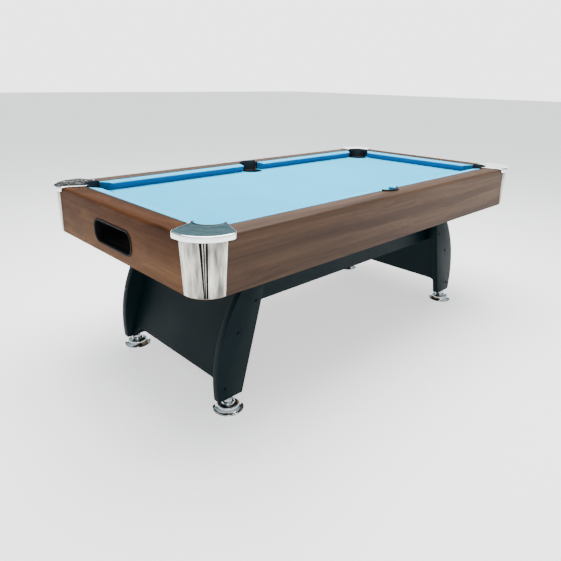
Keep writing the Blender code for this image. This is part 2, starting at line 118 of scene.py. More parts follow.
def bumpOf(tree, shader, height, distance, strength):
    values = {"Height": height, "Distance": distance, "Strength": strength}
    bump = addNode(tree, "ShaderNodeBump", values).outputs["Normal"]
    tree.links.new(bump, shader.inputs["Normal"])


def woodMaterial(name, quarterTurn, looks):
    middle = looks["middle"]
    material, tree, shader = newMaterial(name, middle, 0.52, specular=looks["specular"])
    turn = (0.0, 0.0, math.pi / 2 if quarterTurn else 0.0)
    # The grain runs along X of this point, and the turned copy is for boards that lie along Y.
    wide = objectPoint(tree, (1.0, 1.0, 1.0), turn)
    drift = noiseOf(tree, objectPoint(tree, (1.1, 5.0, 5.0), turn), 1.0, 2.0)
    shift = addNode(tree, "ShaderNodeMath", {0: drift, 1: 0.075}, operation="MULTIPLY").outputs[0]
    place = addNode(tree, "ShaderNodeSeparateXYZ", {"Vector": wide})
    heights = addNode(tree, "ShaderNodeMath", {0: place.outputs["Z"], 1: shift}, operation="ADD").outputs[0]
    acrosses = addNode(tree, "ShaderNodeMath", {0: place.outputs["Y"], 1: shift}, operation="ADD").outputs[0]
    warped = addNode(tree, "ShaderNodeCombineXYZ", {"X": place.outputs["X"], "Y": acrosses, "Z": heights})

    def stretched(along, across):
        values = {"Vector": warped.outputs["Vector"], "Scale": (along, across, across)}
        return addNode(tree, "ShaderNodeMapping", values).outputs["Vector"]

    bands = noiseOf(tree, stretched(0.55, 15.0), 1.0, 3.0, 0.55)
    figure = noiseOf(tree, stretched(0.9, 62.0), 1.0, 3.0, 0.6)
    streaks = noiseOf(tree, stretched(3.5, 420.0), 1.0, 3.0, 0.6)
    pores = noiseOf(tree, stretched(26.0, 1500.0), 1.0, 1.0)
    colour = rampOf(tree, bands, [(0.30, looks["dark"]), (0.50, middle), (0.72, looks["light"])])
    shade = rampOf(tree, figure, [(0.34, grey(0.74)), (0.52, grey(1.0)), (0.70, grey(1.16))])
    colour = mixOf(tree, 0.75, colour, shade, "MULTIPLY")
    fine = rampOf(tree, streaks, [(0.36, grey(0.70)), (0.56, grey(1.04))])
    colour = mixOf(tree, 0.55, colour, fine, "MULTIPLY")
    specks = rampOf(tree, pores, [(0.30, grey(0.45)), (0.40, grey(1.0))])
    colour = mixOf(tree, 0.55, colour, specks, "MULTIPLY")
    if looks["tones"]:
        # Darker and warmer towards the top, paler and cooler towards the bottom, by height.
        wave = noiseOf(tree, objectPoint(tree, (1.6, 4.5, 4.5), turn), 1.0, 2.0)
        values = {0: wave, 1: 0.16, 2: place.outputs["Z"]}
        level = addNode(tree, "ShaderNodeMath", values, operation="MULTIPLY_ADD").outputs[0]
        tone = rampOf(tree, level, looks["tones"])
        colour = mixOf(tree, 1.0, colour, tone, "MULTIPLY")
    tree.links.new(colour, shader.inputs["Base Color"])
    gloss = rampOf(tree, streaks, [(0.3, grey(0.54)), (0.7, grey(0.44))])
    tree.links.new(gloss, shader.inputs["Roughness"])
    bumpOf(tree, shader, specks, 0.00012, 0.35)
    return material


def charcoalMaterial(looks):
    material, tree, shader = newMaterial("charcoal_laminate", looks["middle"], 0.58, specular=0.06)
    point = objectPoint(tree, (1.0, 1.0, 1.0))
    soft = noiseOf(tree, point, 5.0, 3.0)
    pebble = noiseOf(tree, point, 900.0, 2.0)
    colour = rampOf(tree, soft, [(0.3, looks["dark"]), (0.7, looks["light"])])
    tree.links.new(colour, shader.inputs["Base Color"])
    tree.links.new(rampOf(tree, soft, [(0.3, grey(0.50)), (0.7, grey(0.43))]), shader.inputs["Roughness"])
    bumpOf(tree, shader, pebble, 0.00015, 0.30)
    return material


def clothMaterial(name, looks):
    material, tree, shader = newMaterial(name, looks["deep"], 0.95, specular=0.10)
    point = objectPoint(tree, (1.0, 1.0, 1.0))
    nap = noiseOf(tree, objectPoint(tree, (420.0, 1300.0, 900.0)), 1.0, 3.0, 0.7)
    cloudy = noiseOf(tree, point, 2.6, 3.0)
    fibre = noiseOf(tree, point, 260.0, 3.0, 0.7)
    base = rampOf(tree, cloudy, [(0.30, looks["deep"]), (0.70, looks["pale"])])
    if "upright" in looks:
        # Painted shade: faces that stand up are mixed towards a darker, deeper blue than the top, by how far
        # their normal leans from straight up.
        facing = addNode(tree, "ShaderNodeNewGeometry").outputs["Normal"]
        level = addNode(tree, "ShaderNodeSeparateXYZ", {"Vector": facing}).outputs["Z"]
        paintedShadeMix = rampOf(tree, level, [(0.15, grey(0.0)), (0.85, grey(1.0))])
        base = mixOf(tree, paintedShadeMix, looks["upright"], base)
    thread = rampOf(tree, nap, [(0.30, grey(0.90)), (0.70, grey(1.04))])
    colour = mixOf(tree, 1.0, base, thread, "MULTIPLY")
    lint = rampOf(tree, fibre, [(0.30, grey(0.95)), (0.70, grey(1.03))])
    colour = mixOf(tree, 1.0, colour, lint, "MULTIPLY")
    tree.links.new(colour, shader.inputs["Base Color"])
    shader.inputs["Sheen Weight"].default_value = 0.04
    shader.inputs["Sheen Roughness"].default_value = 0.5
    shader.inputs["Sheen Tint"].default_value = (0.40, 0.85, 1.0, 1.0)
    bumpOf(tree, shader, nap, 0.00022, 0.55)
    return material


def boardMaterial():
    material, tree, shader = newMaterial("raw_fibreboard", (0.30, 0.20, 0.12), 0.85, specular=0.25)
    point = objectPoint(tree, (1.0, 1.0, 1.0))
    fibre = noiseOf(tree, point, 340.0, 4.0, 0.7)
    colour = rampOf(tree, fibre, [(0.3, (0.235, 0.152, 0.090)), (0.7, (0.340, 0.232, 0.146))])
    tree.links.new(colour, shader.inputs["Base Color"])
    bumpOf(tree, shader, fibre, 0.0003, 0.4)
    return material


def plasticMaterial(name, colour, roughness, specular):
    material, tree, shader = newMaterial(name, colour, roughness, specular=specular)
    grain = noiseOf(tree, objectPoint(tree, (1.0, 1.0, 1.0)), 1100.0, 2.0)
    bumpOf(tree, shader, grain, 0.0001, 0.25)
    return material


def chromeMaterial(name, colour, roughness, wave, paintedReflectionPatches=False):
    material, tree, shader = newMaterial(name, colour, roughness, 1.0)
    point = objectPoint(tree, (1.0, 1.0, 0.35))
    ripple = noiseOf(tree, point, 30.0, 2.0)
    smear = noiseOf(tree, point, 95.0, 3.0)
    gloss = rampOf(tree, smear, [(0.3, grey(roughness * 0.8)), (0.75, grey(roughness * 1.45))])
    tree.links.new(gloss, shader.inputs["Roughness"])
    bumpOf(tree, shader, ripple, wave, 0.5)
    if paintedReflectionPatches:
        # Painted reflection: soft dark smears in the base colour stand in for the patchy reflections on the
        # plated cover.
        drift = noiseOf(tree, objectPoint(tree, (26.0, 26.0, 5.0)), 1.0, 3.0, 0.6)
        shade = rampOf(tree, drift, [(0.36, tuple(0.16 * c for c in colour)), (0.66, colour)])
        tree.links.new(shade, shader.inputs["Base Color"])
    return material


walnutSide = {"specular": 0.12, "tones": None}
walnutSide["dark"] = (0.041, 0.0210, 0.0118)
walnutSide["middle"] = (0.068, 0.0365, 0.0212)
walnutSide["light"] = (0.108, 0.0630, 0.0380)
walnutEnd = {"specular": 0.04}
walnutEnd["dark"] = (0.050, 0.0200, 0.0068)
walnutEnd["middle"] = (0.080, 0.0335, 0.0125)
walnutEnd["light"] = (0.114, 0.0515, 0.0200)
walnutEnd["tones"] = [
    (0.735, (1.30, 1.36, 1.40)),
    (0.762, (1.0, 1.0, 1.0)),
    (0.785, (0.74, 0.62, 0.52)),
    (0.90, (0.64, 0.54, 0.46)),
]
laminate = {"dark": (0.0007, 0.0058, 0.0080), "light": (0.0011, 0.0072, 0.0094)}
laminate["middle"] = (0.0009, 0.0064, 0.0086)
bedCloth = {"deep": (0.012, 0.440, 0.720), "pale": (0.022, 0.475, 0.755)}
# The cushion cloth's third colour is painted shade for the cushions' standing faces.
railCloth = {"deep": (0.040, 0.430, 0.710), "pale": (0.055, 0.460, 0.740), "upright": (0.006, 0.118, 0.270)}
walnutAlongX = woodMaterial("walnut_laminate_side", False, walnutSide)
walnutAlongY = woodMaterial("walnut_laminate_end", True, walnutEnd)
charcoal = charcoalMaterial(laminate)
cloth = clothMaterial("blue_cloth", bedCloth)
cushionCloth = clothMaterial("cushion_cloth", railCloth)
board = boardMaterial()
blackPlastic = plasticMaterial("black_plastic", (0.006, 0.007, 0.010), 0.42, 0.25)
blackTrim = plasticMaterial("black_trim", (0.003, 0.003, 0.004), 0.52, 0.05)
chrome = chromeMaterial("chrome_plate", (0.90, 0.92, 0.92), 0.075, 0.0009)
# The cover's dark patches are painted reflection.
coverChrome = chromeMaterial("cover_chrome", (0.72, 0.70, 0.625), 0.20, 0.0012, paintedReflectionPatches=True)
footChrome = chromeMaterial("foot_chrome", (0.56, 0.60, 0.62), 0.10, 0.0003)
zinc = newMaterial("zinc_steel", (0.50, 0.51, 0.52), 0.32, 1.0)[0]
print("materials made")


# Mesh helpers


def arc(centre, radius, start, end, steps):
    angles = [math.radians(start + (end - start) * i / steps) for i in range(steps + 1)]
    return [(centre[0] + radius * math.cos(a), centre[1] + radius * math.sin(a)) for a in angles]


def placed(side, points):
    return [(side[0] * (halfLength - x), side[1] * (halfWidth - y)) for x, y in points]


def fromCorner(side, x, y, z):
    return Vector((*placed(side, [(x, y)])[0], z))


def edgesOf(shape, verts, closed):
    following = verts[1:] + verts[:1] if closed else verts[1:]
    return [shape.edges.get(pair) for pair in zip(verts, following)]


def drawOn(shape, ring, points, closed=True):
    # Extrudes a ring or a run of edges and sets the new one at the next station.
    made = bmesh.ops.extrude_edge_only(shape, edges=edgesOf(shape, ring, closed))["geom"]
    fresh = {item for item in made if isinstance(item, bmesh.types.BMVert)}
    after = []
    for vert, point in zip(ring, points):
        twin = next(e.other_vert(vert) for e in vert.link_edges if e.other_vert(vert) in fresh)
        twin.co = point
        after.append(twin)
    return after


def loftInto(shape, stations, closed=False):
    ring = [shape.verts.new(point) for point in stations[0]]
    for pair in zip(ring, ring[1:] + ring[:1]):
        shape.edges.new(pair)
    rings = [ring]
    for points in [*stations[1:], stations[0]] if closed else stations[1:]:
        rings.append(drawOn(shape, rings[-1], points))
    if not closed:
        for end in (rings[0], rings[-1]):
            bmesh.ops.holes_fill(shape, edges=edgesOf(shape, end, True))
    return rings


def makePiece(name, shape, material, replaced=(), body="table", smooth=38):
    bmesh.ops.remove_doubles(shape, verts=shape.verts, dist=1e-6)
    bmesh.ops.recalc_face_normals(shape, faces=shape.faces)
    mesh = bpy.data.meshes.new(name)
    shape.to_mesh(mesh)
    shape.free()
    piece = bpy.data.objects.new(name, mesh)
    bpy.context.scene.collection.objects.link(piece)
    mesh.materials.append(material)
    mesh.shade_smooth()
    mesh.set_sharp_from_angle(angle=math.radians(smooth))
    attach(piece, body)
    if replaced:
        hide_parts(*replaced)
    return piece


def turnInto(shape, profile, base, axis, steps, ringed=False):
    # The profile is (radius, height along the axis), and a ringed one closes on itself.
    across = Vector((1.0, 0.0, 0.0))
    verts = [shape.verts.new(Vector(base) + across * r + Vector(axis) * along) for r, along in profile]
    pairs = list(zip(verts, verts[1:]))
    if ringed:
        pairs.append((verts[-1], verts[0]))
    edges = [shape.edges.new(pair) for pair in pairs]
    bmesh.ops.spin(
        shape,
        geom=verts + edges,
        cent=base,
        axis=axis,
        angle=math.tau,
        steps=steps,
        use_merge=True,
    )


def prismInto(shape, outline, bottom, top):
    footprint = shape.faces.new([shape.verts.new((x, y, bottom)) for x, y in outline])
    made = bmesh.ops.extrude_face_region(shape, geom=[footprint])["geom"]
    raised = [item for item in made if isinstance(item, bmesh.types.BMVert)]
    bmesh.ops.translate(shape, verts=raised, vec=(0.0, 0.0, top - bottom))


def bevelEdges(shape, edges, width, segments):
    bmesh.ops.bevel(
        shape,
        geom=edges,
        offset=width,
        offset_type="OFFSET",
        affect="EDGES",
        segments=segments,
        profile=0.5,
        material=-1,
    )


def softenNode(name, material, width=0.0008):
    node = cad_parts[name]
    node.data.materials.clear()
    node.data.materials.append(material)
    if width:
        bevel = node.modifiers.new("edge", "BEVEL")
        bevel.width = width
        bevel.segments = 2
        bevel.limit_method = "ANGLE"
        bevel.angle_limit = math.radians(40)
    return node


# Cabinet

rail = {"bottom": 0.7403, "top": 0.780, "width": 0.088, "rounding": 0.013}
rail["bite"] = 0.0602  # the radius left free round each pocket
rail["strip"] = 0.0042  # the black strip between the laminate and the cushion
rail["stripStart"] = 0.0562  # how far from the middle a side rail's strips start
rail["biteStart"] = 225.3  # where on the corner's arc the rail begins, in degrees
edgeIn = rail["width"] - rail["strip"]


def cornerBite(along):
    start = rail["biteStart"]
    outer = arc((cornerRadius, cornerRadius), cornerRadius, 270, start, 16)
    bite = arc((cornerPocketIn, cornerPocketIn), rail["bite"], start, 270, 14)
    lastX = bite[-1][0]
    points = [*outer, *bite, (lastX + 0.002, bite[-1][1]), (lastX + 0.002, edgeIn)]
    return points if along == "x" else [(y, x) for x, y in points]


def onOuterTop(vert):
    if vert.co.z < rail["top"] - 1e-5:
        return False
    x = halfLength - abs(vert.co.x)
    y = halfWidth - abs(vert.co.y)
    if x > cornerRadius - 1e-5 or y > cornerRadius - 1e-5:
        return min(x, y) < 1e-5
    return abs(math.hypot(cornerRadius - x, cornerRadius - y) - cornerRadius) < 1e-5


def addRail(name, outline, material, node):
    shape = bmesh.new()
    prismInto(shape, outline, rail["bottom"], rail["top"])
    outerTop = [edge for edge in shape.edges if all(onOuterTop(v) for v in edge.verts)]
    bevelEdges(shape, outerTop, rail["rounding"], 8)
    makePiece(name, shape, material, [node], smooth=30)


for row, way in sides.items():
    left = placed((-1, way), cornerBite("x"))
    right = placed((1, way), cornerBite("x"))
    halfAngle = math.degrees(math.acos((sidePocketIn - edgeIn) / rail["bite"]))
    pocket = (0.0, way * (halfWidth - sidePocketIn))
    notch = arc(pocket, rail["bite"], 90 * way + halfAngle, 90 * way - halfAngle, 30)
    if way < 0:
        notch.reverse()
    outline = [*left, *notch, *reversed(right)]
    addRail(f"rail_side_{row}", outline, walnutAlongX, f"top_rail_side_{row}")
    softenNode(f"apron_side_{row}", walnutAlongX)
for row, way in ends.items():
    near = placed((way, -1), cornerBite("y"))
    far = placed((way, 1), cornerBite("y"))
    addRail(f"rail_end_{row}", [*near, *reversed(far)], walnutAlongY, f"top_rail_end_{row}")
softenNode("apron_end_head", walnutAlongY)
softenNode("apron_end_return", walnutAlongY)
for corner in corners:
    softenNode(f"corner_post_{corner}", board, 0)


def stripsInto(shape, runs, way, lengthwise):
    # Each run is where one strip starts and ends along its rail.
    half = halfWidth if lengthwise else halfLength
    band = sorted((way * (half - edgeIn - 0.0002), way * (half - rail["width"] + 0.0001)))
    for run in runs:
        span = sorted(run)
        outline = ((span[0], band[0]), (span[1], band[0]), (span[1], band[1]), (span[0], band[1]))
        if not lengthwise:
            outline = [(x, y) for y, x in reversed(outline)]
        prismInto(shape, outline, rail["bottom"] + 0.0005, rail["top"] + 0.0002)
    bevelEdges(shape, [e for e in shape.edges if all(v.co.z > rail["top"] for v in e.verts)], 0.0008, 2)


stripEndIn = cornerPocketIn + 0.003
for row, way in sides.items():
    shape = bmesh.new()
    runs = [(half * rail["stripStart"], half * (halfLength - stripEndIn)) for half in (-1, 1)]
    stripsInto(shape, runs, way, True)
    makePiece(f"rail_strip_side_{row}", shape, blackTrim)
for row, way in ends.items():
    shape = bmesh.new()
    stripsInto(shape, [(stripEndIn - halfWidth, halfWidth - stripEndIn)], way, False)
    makePiece(f"rail_strip_end_{row}", shape, blackTrim)
print("rails made")


# Bed and cloth

softenNode("playing_bed", board, 0)

bed = {"hole": 0.0605, "thickness": 0.0007}
bed["fold"] = ((0.0004, 0.0001), (0.0009, 0.0005), (0.0012, 0.0011), (0.0013, 0.0026))


def clothRuns():
    # The six curved runs round the pockets, in order round the bed. Straight edges join them.
    tilt = math.degrees(math.asin((cornerPocketIn - cushionStartIn) / bed["hole"]))
    quarter = arc((cornerPocketIn, cornerPocketIn), bed["hole"], -tilt, 90 + tilt, 48)
    half = math.degrees(math.acos((sidePocketIn - cushionStartIn) / bed["hole"]))

    def sideRun(way):
        middle = (0.0, way * (halfWidth - sidePocketIn))
        return arc(middle, bed["hole"], 90 * way + 360 - half, 90 * way + half, 48)

    runs = [placed((-1, -1), quarter)[::-1], sideRun(-1), placed((1, -1), quarter)]
    return runs + [placed((1, 1), quarter)[::-1], sideRun(1), placed((-1, 1), quarter)]


def addCloth():
    shape = bmesh.new()
    runs = clothRuns()
    rows = [[shape.verts.new((x, y, clothTop)) for x, y in run] for run in runs]
    shape.faces.new([vert for row in rows for vert in row])
    # The cloth turns down over the bed's edge inside each pocket.
    pockets = [(0.0, way * (halfWidth - sidePocketIn)) for way in (-1, 1)]
    pockets += [placed(side, [(cornerPocketIn, cornerPocketIn)])[0] for side in corners.values()]
    for run, row in zip(runs, rows):
        centre = min(pockets, key=lambda p: math.dist(p, run[len(run) // 2]))
        for inward, down in bed["fold"]:
            points = []
            for x, y in run:
                toward = Vector((centre[0] - x, centre[1] - y, 0.0)).normalized()
                points.append(Vector((x, y, clothTop - down)) + toward * inward)
            row = drawOn(shape, row, points, closed=False)
    piece = makePiece("playing_cloth", shape, cloth, ["bed_cloth"], smooth=60)
    if piece.data.polygons[0].normal.z < 0:  # an open sheet can come out facing down
        piece.data.flip_normals()
    thick = piece.modifiers.new("thickness", "SOLIDIFY")
    thick.thickness = bed["thickness"]
    thick.offset = -1.0
    return piece


playingCloth = addCloth()


cushion = {"out": 0.045, "nose": 0.7748, "baseOut": 0.026}
cushion["cornerJaw"] = (0.176, 0.216)  # where it starts along its rail, at its back and at its nose
cushion["sideJaw"] = (0.0590, 0.0680)
cushion["middle"] = (0.018, 0.758)  # what its rounded ends shrink towards
cushion["ends"] = ((0.0010, 0.62), (0.0003, 0.84), (0.0, 0.93), (-0.0012, 0.985), (-0.0032, 1.0))


def cushionSection():
    base = clothTop + 0.0003
    top = rail["top"] - 0.0012
    nose = cushion["nose"]
    out = cushion["out"]
    points = [(0.0002, base), (0.0002, top - 0.0008), (0.0010, top)]
    points += [(0.012, top - 0.0004), (0.026, top - 0.0012), (0.036, nose + 0.0021)]
    points.append((out - 0.0048, nose + 0.0009))
    points += [(out - 0.0024, nose - 0.0001), (out - 0.0008, nose - 0.0018), (out - 0.0002, nose - 0.0040)]
    points += [(out - 0.0012, nose - 0.0065), (out - 0.0038, nose - 0.0086), (out - 0.0080, nose - 0.0125)]
    points += [(0.0315, nose - 0.0215), (0.0275, base + 0.0036), (cushion["baseOut"], base)]
    return points


def addCushion(name, toPoint, jaws, node):
    section = cushionSection()
    centre = cushion["middle"]
    rows = []
    (startRail, startNose), (endRail, endNose) = jaws
    sign = 1 if endRail > startRail else -1

    def ring(atRail, atNose, inward, keep):
        row = []
        for out, z in section:
            o = centre[0] + (out - centre[0]) * keep
            h = centre[1] + (z - centre[1]) * keep
            along = atRail + (atNose - atRail) * max(0.0, o) / cushion["out"]
            row.append(toPoint(along + inward, o, h))
        return row

    for push, keep in cushion["ends"]:
        rows.append(ring(startRail, startNose, sign * (0.0012 - push), keep))
    steps = 24
    for i in range(1, steps):
        t = i / steps
        atRail = startRail + (endRail - startRail) * t
        rows.append(ring(atRail, startNose + (endNose - startNose) * t, 0.0, 1.0))
    for push, keep in reversed(cushion["ends"]):
        rows.append(ring(endRail, endNose, -sign * (0.0012 - push), keep))
    shape = bmesh.new()
    loftInto(shape, rows)
    piece = makePiece(name, shape, cushionCloth, [node], smooth=50)


for row, way in sides.items():
    for half, sign in ends.items():
        first = [sign * value for value in cushion["sideJaw"]]
        last = [sign * (halfLength - value) for value in cushion["cornerJaw"]]

        def sidePoint(along, out, z, way=way):
            return Vector((along, way * (halfWidth - cushionStartIn - out), z))

        addCushion(f"rail_cushion_{row}_{half}", sidePoint, (first, last), f"cushion_{row}_{half}")
for row, way in ends.items():
    jaw = [halfWidth - value for value in cushion["cornerJaw"]]

    def endPoint(along, out, z, way=way):
        return Vector((way * (halfLength - cushionStartIn - out), along, z))

    jaws = ([-value for value in jaw], jaw)
    addCushion(f"rail_cushion_end_{row}", endPoint, jaws, f"cushion_end_{row}")
print("cloth and cushions made")


# Pocket liners


liner = {"bore": 0.0565, "outside": 0.0595, "rim": 0.0640}
liner["bottom"], liner["shelf"], liner["rail"], liner["top"] = 0.700, 0.7385, 0.7803, 0.7880
liner["cornerReach"], liner["sideReach"] = 69, 62  # how far the wall goes each way, in degrees
# The wall ends in a knob on each side of the mouth: how far along it, in degrees, and its size there.
liner["knob"] = ((0.0, 0.35), (0.6, 0.72), (1.6, 0.98), (3.0, 1.14), (4.8, 1.17), (6.8, 1.10), (9.0, 1.0))
liner["knobRise"] = 0.0055


def linerWall():
    bore, outside, rim = liner["bore"], liner["outside"], liner["rim"]
    shelf, onRail, top = liner["shelf"], liner["rail"], liner["top"]
    wall = [(bore + 0.0008, shelf), (outside, shelf), (outside, onRail)]
    wall += [(rim - 0.0005, onRail), (rim, onRail + 0.0009), (rim, top - 0.0030)]
    wall += [(rim - 0.0008, top - 0.0008), (rim - 0.0024, top), (bore + 0.0034, top)]
    return wall + [(bore + 0.0012, top - 0.0007), (bore + 0.0001, top - 0.0024), (bore, onRail - 0.0003)]


def addLiner(name, pocket, outward, reach, node):
    shape = bmesh.new()
    bore, outside, shelf = liner["bore"], liner["outside"], liner["shelf"]
    ringProfile = [(bore, liner["bottom"]), (outside, liner["bottom"]), (outside, shelf - 0.0006)]
    ringProfile += [(outside - 0.0006, shelf), (bore + 0.0006, shelf), (bore, shelf - 0.0006)]
    turnInto(shape, ringProfile, (*pocket, 0.0), (0, 0, 1), 72, ringed=True)
    wall = linerWall()
    knobLength = liner["knob"][-1][0]
    before = [(away - reach, keep) for away, keep in liner["knob"]]
    middle = [((reach - knobLength) * (i / 24 - 1), 1.0) for i in range(1, 48)]
    after = [(-angle, keep) for angle, keep in reversed(before)]
    spine = (bore + liner["rim"]) / 2
    rimBase = liner["rail"] + 0.0002
    stations = []
    for angle, keep in [*before, *middle, *after]:
        turn = outward + math.radians(angle)
        across = Vector((math.cos(turn), math.sin(turn), 0.0))
        station = []
        for r, z in wall:
            onRim = max(0.0, (z - rimBase) / (liner["top"] - rimBase))
            radius = spine + (r - spine) * (keep if onRim else min(keep, 1.0))
            height = z + (keep - 1.0) * liner["knobRise"] * onRim
            station.append(Vector((*pocket, height)) + across * radius)
        stations.append(station)
    loftInto(shape, stations)
    makePiece(name, shape, blackPlastic, [node], smooth=50)


for corner, side in corners.items():
    pocket = placed(side, [(cornerPocketIn, cornerPocketIn)])[0]
    outward = math.atan2(side[1], side[0])
    addLiner(f"liner_{corner}", pocket, outward, liner["cornerReach"], f"pocket_liner_{corner}")
for row, way in sides.items():
    pocket = (0.0, way * (halfWidth - sidePocketIn))
    outward = way * math.pi / 2
    addLiner(f"liner_side_{row}", pocket, outward, liner["sideReach"], f"pocket_liner_side_{row}")
print("pocket liners made")


# Chrome corners

cap = {"in": 0.111, "radius": 0.131, "start": 172, "end": 278}
cap["top"], cap["lip"] = 0.786, 0.7660
cap["tip"], cap["trim"] = 0.026, 14  # the tips' rounding, and the steps of the front arc it takes
cap["rounding"], cap["backRounding"] = 0.0040, 0.0016
cap["hang"] = 0.0045  # the lip's thickness, and how far outside the cabinet it hangs
cap["coverClear"] = 0.0925  # the radius round the corner's centre that the cover fills
cap["lipReach"] = 0.06  # how far along a rail the lip goes on


def roundedPath(points, radii, steps):
    path = []
    for i, (point, radius) in enumerate(zip(points, radii)):
        here = Vector(point)
        if not radius:
            path.append(here)
            continue
        before = (Vector(points[i - 1]) - here).normalized()
        after = (Vector(points[i + 1]) - here).normalized()
        half = before.angle(after) / 2
        middle = here + (before + after).normalized() * (radius / math.sin(half))
        first = here + before * (radius / math.tan(half))
        last = here + after * (radius / math.tan(half))
        startAngle = math.atan2(first.y - middle.y, first.x - middle.x)
        sweep = math.atan2(last.y - middle.y, last.x - middle.x) - startAngle
        sweep = (sweep + math.pi) % math.tau - math.pi
        for k in range(steps + 1):
            a = startAngle + sweep * k / steps
            path.append(middle + Vector((math.cos(a), math.sin(a))) * radius)
    return path


def capOutline():
    # Gives the outer edge from tip to tip, the pocket's centre, and the inner edge's radius and reach.
    inner = liner["rim"] + 0.0005
    reach = math.degrees(math.acos((cornerPocketIn - rail["width"]) / inner))
    pocket = Vector((cornerPocketIn, cornerPocketIn))
    front = arc((cap["in"], cap["in"]), cap["radius"], cap["start"], cap["end"], 60)
    turn = math.radians(180 - reach)
    rimStart = pocket + Vector((math.cos(turn), math.sin(turn))) * inner
    # Each tip is rounded where the front edge meets the edge across the rail.
    first = roundedPath([tuple(rimStart), front[0], front[cap["trim"]]], [0, cap["tip"], 0], 12)
    body = [Vector(p) for p in front[cap["trim"] : -cap["trim"]]]
    last = [Vector((p.y, p.x)) for p in reversed(first)]
    edge = [first[0].lerp(first[1], t) for t in (0.0, 0.35, 0.7)]
    outer = [*edge, *first[1:-1], *body, *last[1:-1], *[Vector((p.y, p.x)) for p in reversed(edge)]]
    return outer, pocket, inner, reach


def addCap(name, side, node):
    outer, pocket, inner, reach = capOutline()
    lengths = [0.0]
    for a, b in zip(outer, outer[1:]):
        lengths.append(lengths[-1] + (b - a).length)
    top, lip, under, hang = cap["top"], cap["lip"], rail["top"] + 0.0003, cap["hang"]
    middle = Vector((cap["in"], cap["in"]))
    roundCentre = Vector((cornerRadius, cornerRadius))
    stations = []
    for i, point in enumerate(outer):
        tangent = (outer[min(len(outer) - 1, i + 1)] - outer[max(0, i - 1)]).normalized()
        normal = Vector((tangent.y, -tangent.x))
        if normal.dot(point - middle) < 0:
            normal = -normal
        angle = math.radians(180 - reach + (90 + 2 * reach) * lengths[i] / lengths[-1])
        toRim = Vector((math.cos(angle), math.sin(angle)))
        rim = pocket + toRim * inner
        soft = min(1.0, (point - rim).length / 0.02)
        # The lip hangs only where the edge is clear of the cover below.
        pastEnd, pastSide = point.x < -hang, point.y < -hang
        clear = pastSide or pastEnd or (point - roundCentre).length > cap["coverClear"]
        beside = (point.x < cap["lipReach"] or pastSide) and (point.y < cap["lipReach"] or pastEnd)
        low = lip if clear and beside else under
        wide = cap["rounding"] if clear and beside else cap["backRounding"]
        section = [(rim, under), (rim, top)]
        flatEdge = point - normal * wide * soft
        section.append((rim.lerp(flatEdge, 0.5), top))
        section.append((flatEdge.lerp(rim, 0.06), top))
        for inward, down in ((1.0, 0.0), (0.62, 0.08), (0.32, 0.28), (0.12, 0.55), (0.02, 0.82)):
            section.append((point - normal * wide * inward * soft, top - wide * down))
        section.append((point, top - wide))
        section.append((point, low + 0.0022))
        section.append((point - normal * 0.0007 * soft, low + 0.0007))
        section.append((point - normal * 0.0020 * soft, low))
        section.append((point - normal * (hang - 0.0003) * soft, low))
        section.append((point - normal * hang * soft, under))
        stations.append([fromCorner(side, p.x, p.y, z) for p, z in section])
    shape = bmesh.new()
    loftInto(shape, stations)
    makePiece(name, shape, chrome, [node], smooth=42)


cover = {"proud": 0.0023, "bottom": 0.587, "reachTop": 0.104, "reachBottom": 0.090}
# Heights of the cover's stations above its bottom. It is drawn in a little at the first and the last.
cover["levels"] = (0.0, 0.0010, 0.0016, 0.01, 0.04, 0.08, 0.12, 0.16, 0.1770, 0.1776, 0.1786)
cover["drawnIn"] = 0.0009
# Three dark lines of black trim, painted reflection standing in for the dark streaks in the ribbed chrome
# corner: place along the arc and half width, at the bottom and at the top.
cover["inlays"] = (
    ((0.0036, 0.0012), (-0.0020, 0.0040)),
    ((0.0073, 0.0010), (0.0076, 0.0017)),
    ((0.0126, 0.0021), (0.0164, 0.0030)),
)
cover["rib"] = 0.0008  # how far the metal stands up beside each line


def coverColumns(share):
    # Each column is its place along the arc, its rise, and whether a dark line starts there.
    lines = []
    for (place, half), (placeAtTop, halfAtTop) in cover["inlays"]:
        lines.append((place + (placeAtTop - place) * share, half + (halfAtTop - half) * share))
    quarter = cornerRadius * math.pi / 4
    first = lines[0][0] - lines[0][1] - 0.0016
    last = lines[-1][0] + lines[-1][1] + 0.0016
    rib, edge = cover["rib"], 0.0004
    columns = [(-quarter + (quarter + first) * i / 40, 0.0, False) for i in range(41)]
    for i, (middle, half) in enumerate(lines):
        columns += [(middle - half - edge, rib, False), (middle - half, 0.0002, True)]
        columns += [(middle + half, 0.0002, False), (middle + half + edge, rib, False)]
        if i < len(lines) - 1:
            start = middle + half + edge
            stop = lines[i + 1][0] - lines[i + 1][1] - edge
            for t in (0.25, 0.5, 0.75):
                columns.append((start + (stop - start) * t, rib + 0.0005 * math.sin(math.pi * t), False))
    return columns + [(last + (quarter - last) * i / 40, 0.0, False) for i in range(41)]


